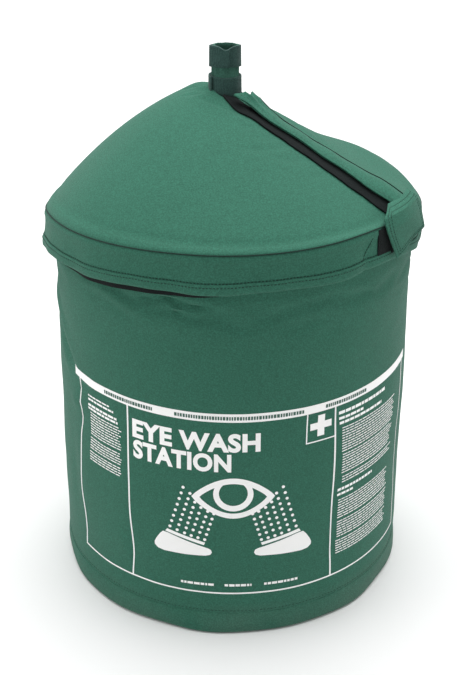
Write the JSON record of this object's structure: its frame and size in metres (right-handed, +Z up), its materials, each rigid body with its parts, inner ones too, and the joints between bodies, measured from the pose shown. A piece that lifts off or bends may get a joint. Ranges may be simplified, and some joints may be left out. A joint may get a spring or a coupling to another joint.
{
  "type": "portable eyewash station",
  "caption": "Drum-shaped insulated fabric jacket with a padded conical lift-off lid, over a pressurised water tank with a push-lever valve and twin spray heads.",
  "frame": {"origin": "centre of the jacket's round underside, on the floor", "axes": "+Z up through the neck; -Y is the front, where the sign is printed; +X is to the right of a person facing the front"},
  "size_m": [0.4736, 0.4736, 0.712],
  "materials": {
    "green_fabric": "coated woven fabric",
    "dark_webbing": "hook-and-loop webbing",
    "black_tape": "loop tape",
    "grey_foam": "closed-cell foam",
    "silver_liner": "reflective film",
    "stainless": "satin",
    "chrome": "polished",
    "brass": "machined",
    "yellow_plastic": "moulded",
    "green_plastic": "moulded",
    "black_plastic": "moulded",
    "white_enamel": "satin",
    "red_enamel": "satin",
    "black_rubber": "moulded",
    "clear_lens": "clear"
  },
  "bodies": {
    "station": {"jacket_boot": "green_fabric", "base_pad": "grey_foam", "jacket_shell": "green_fabric", "jacket_insulation": "grey_foam", "jacket_liner": "silver_liner", "jacket_top_binding": "dark_webbing", "tank_shell": "stainless", "tank_foot_ring": "stainless", "tank_boss": "stainless", "fill_boss": "stainless", "fill_gasket": "black_rubber", "handle_lug_right_1": "stainless", "handle_lug_right_2": "stainless", "handle_lug_left_1": "stainless", "handle_lug_left_2": "stainless", "outlet_head": "chrome", "dip_tube": "black_plastic", "valve_body": "chrome", "spray_yoke": "chrome", "spray_head_right": "yellow_plastic", "cap_pin_right": "stainless", "spray_head_left": "yellow_plastic", "cap_pin_left": "stainless", "gauge_case": "stainless", "gauge_dial": "white_enamel", "gauge_lens": "clear_lens", "gauge_bezel": "chrome", "relief_valve": "brass", "air_valve": "brass"},
    "valve_lever": {"valve_ball": "chrome", "valve_stem": "stainless", "push_lever": "stainless", "lever_nut": "stainless", "push_pad": "green_plastic"},
    "cap_right": {"dust_cap_right": "green_plastic"},
    "cap_left": {"dust_cap_left": "green_plastic"},
    "needle": {"gauge_needle": "red_enamel"},
    "relief_ring": {"relief_pull_ring": "stainless"},
    "fill_cap_body": {"fill_cap": "black_plastic"},
    "air_cap_body": {"air_valve_cap": "black_plastic"},
    "bail_right": {"handle_right": "stainless"},
    "bail_left": {"handle_left": "stainless"},
    "lid": {"lid_cone": "green_fabric", "lid_peak": "green_fabric", "lid_skirt": "green_fabric", "lid_hem": "green_fabric", "slit_loop_tape": "black_tape", "flap_welt": "green_fabric", "skirt_loop_tape": "black_tape", "tab_welt": "green_fabric", "neck_sleeve": "green_fabric", "neck_strap_lower": "dark_webbing", "neck_strap_upper": "dark_webbing"},
    "flap": {"closure_flap": "green_fabric", "flap_hook_tape": "black_tape"},
    "tab": {"skirt_tab": "green_fabric", "tab_hook_tape": "black_tape"}
  },
  "joints": [
    {"name": "lid_lift", "type": "slide", "parent": "station", "child": "lid", "axis": [0, 0, 1], "range_m": [0, 0.3]},
    {"name": "flap_peel", "type": "hinge", "parent": "lid", "child": "flap", "pos_m": [0.11777, -0.04902, 0.59507], "axis": [-0.7887, 0.4193, 0.4497], "range_deg": [0, 120]},
    {"name": "tab_peel", "type": "hinge", "parent": "lid", "child": "tab", "pos_m": [0.22511, -0.08118, 0.5075], "axis": [0, 0, 1], "range_deg": [0, 120]},
    {"name": "lever_turn", "type": "hinge", "parent": "station", "child": "valve_lever", "pos_m": [0, -0.0253, 0.52443], "axis": [0, -1, 0], "range_deg": [0, 90]},
    {"name": "cap_right_flip", "type": "hinge", "parent": "station", "child": "cap_right", "pos_m": [0.041, 0, 0.57568], "axis": [0, -1, 0], "range_deg": [0, 110]},
    {"name": "cap_left_flip", "type": "hinge", "parent": "station", "child": "cap_left", "pos_m": [-0.041, 0, 0.57568], "axis": [0, 1, 0], "range_deg": [0, 110]},
    {"name": "needle_turn", "type": "hinge", "parent": "station", "child": "needle", "pos_m": [0, -0.055, 0.49778], "axis": [0, 1, 0], "range_deg": [-135, 135]},
    {"name": "relief_pull", "type": "slide", "parent": "station", "child": "relief_ring", "axis": [0.866, 0.5, 0], "range_m": [0, 0.008], "stiffness_N_per_m": 300},
    {"name": "fill_cap_turn", "type": "hinge", "parent": "station", "child": "fill_cap_body", "pos_m": [0, 0.1, 0.48395], "axis": [0, 0, 1], "range_deg": [0, 90]},
    {"name": "air_cap_turn", "type": "hinge", "parent": "station", "child": "air_cap_body", "pos_m": [-0.03897, 0.0225, 0.49778], "axis": [-0.866, 0.5, 0], "continuous": true},
    {"name": "bail_right_swing", "type": "hinge", "parent": "station", "child": "bail_right", "pos_m": [0.15, 0, 0.45442], "axis": [0, -1, 0], "range_deg": [0, 120]},
    {"name": "bail_left_swing", "type": "hinge", "parent": "station", "child": "bail_left", "pos_m": [-0.15, 0, 0.45442], "axis": [0, 1, 0], "range_deg": [0, 120]}
  ]
}
